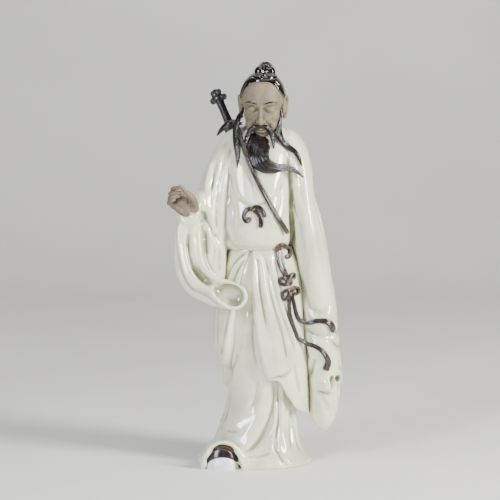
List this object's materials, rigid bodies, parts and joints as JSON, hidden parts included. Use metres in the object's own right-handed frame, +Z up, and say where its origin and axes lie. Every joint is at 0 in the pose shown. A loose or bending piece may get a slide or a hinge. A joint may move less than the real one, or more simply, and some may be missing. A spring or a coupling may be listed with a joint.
{
  "type": "ceramic immortal figure",
  "caption": "Standing ceramic figure of a robed, bearded immortal with a sword across the back, ivory crackle glaze, fired as one piece with a flat underside.",
  "frame": {"origin": "on the table plane under the figure, at the middle of the gown's hem: the centre of the flat underside", "axes": "+Z up through the head, -Y the way the figure faces, +X towards the figure's hanging left sleeve"},
  "size_m": [0.1833, 0.1082, 0.4201],
  "materials": {
    "glazed_ceramic": "high-gloss ivory crackle glaze, with bare matt clay at the face and hand and dark brown-black glaze on the hair, beard, sword, strap, sash and shoe"
  },
  "bodies": {
    "root": {"immortal_figure": "glazed_ceramic"}
  },
  "joints": []
}
